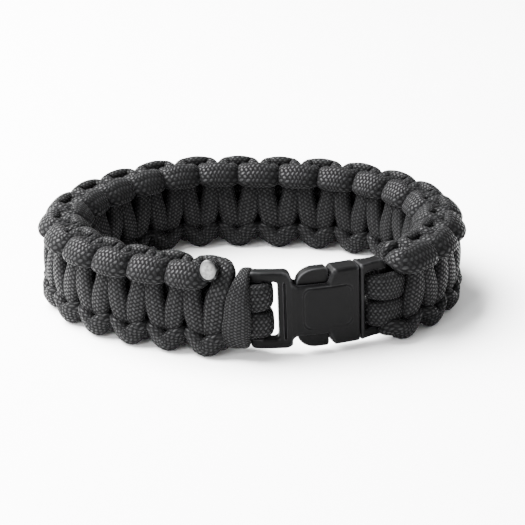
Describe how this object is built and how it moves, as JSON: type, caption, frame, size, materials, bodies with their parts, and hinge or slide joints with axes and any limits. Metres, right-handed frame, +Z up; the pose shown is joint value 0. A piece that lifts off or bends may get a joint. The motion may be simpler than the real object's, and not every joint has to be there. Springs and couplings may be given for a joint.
{
  "type": "woven cord bracelet",
  "caption": "Closed bracelet of black cord woven in a flat cobra pattern, joined by a contoured side release buckle, lying on its lower edge.",
  "frame": {"origin": "centre of the bounding box at the ground, in the middle of the wrist opening", "axes": "+Z up through the wrist opening, -Y towards the buckle, +X to the right seen from the buckle's side"},
  "size_m": [0.0898, 0.07, 0.0192],
  "materials": {
    "cord": "braided black nylon, dull",
    "buckle_plastic": "finely textured black acetal",
    "sealed_tip": "melted cord, pale grey with a dark rim"
  },
  "bodies": {
    "root": {"buckle_socket": "buckle_plastic", "buckle_plug": "buckle_plastic", "core_cord": "cord", "outer_weave_cord": "cord", "inner_weave_cord": "cord", "sealed_end": "sealed_tip"}
  },
  "joints": []
}
